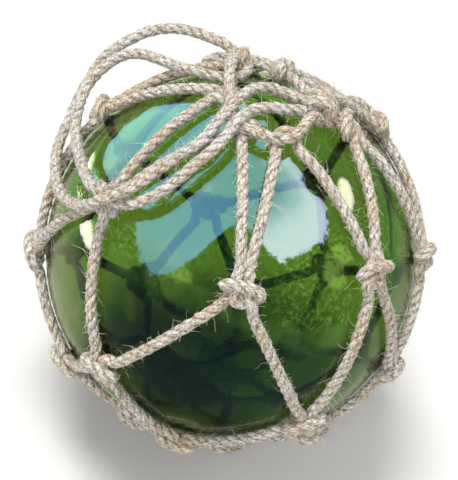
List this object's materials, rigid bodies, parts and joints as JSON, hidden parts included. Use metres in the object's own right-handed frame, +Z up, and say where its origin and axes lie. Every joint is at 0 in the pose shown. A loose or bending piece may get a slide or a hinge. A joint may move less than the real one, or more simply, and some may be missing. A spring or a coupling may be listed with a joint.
{
  "type": "netted glass float ball",
  "caption": "Green blown-glass float ball in a knotted jute-twine net, gathered to a small ring at the top, with two loose hanging loops.",
  "frame": {"origin": "middle of the flat underside of the net's base ring, where the float stands", "axes": "+Z up along the axis of the net, through the middle of the ball, and -Y towards the front"},
  "size_m": [0.1586, 0.1552, 0.1663],
  "materials": {
    "green_glass": "clear bottle-green blown glass, glossy",
    "jute_twine": "three-ply twisted jute twine, rough, with loose fibres"
  },
  "bodies": {
    "root": {"glass_ball": "green_glass", "rope_net": "jute_twine", "hanging_cord_outer": "jute_twine", "hanging_cord_inner": "jute_twine"}
  },
  "joints": []
}
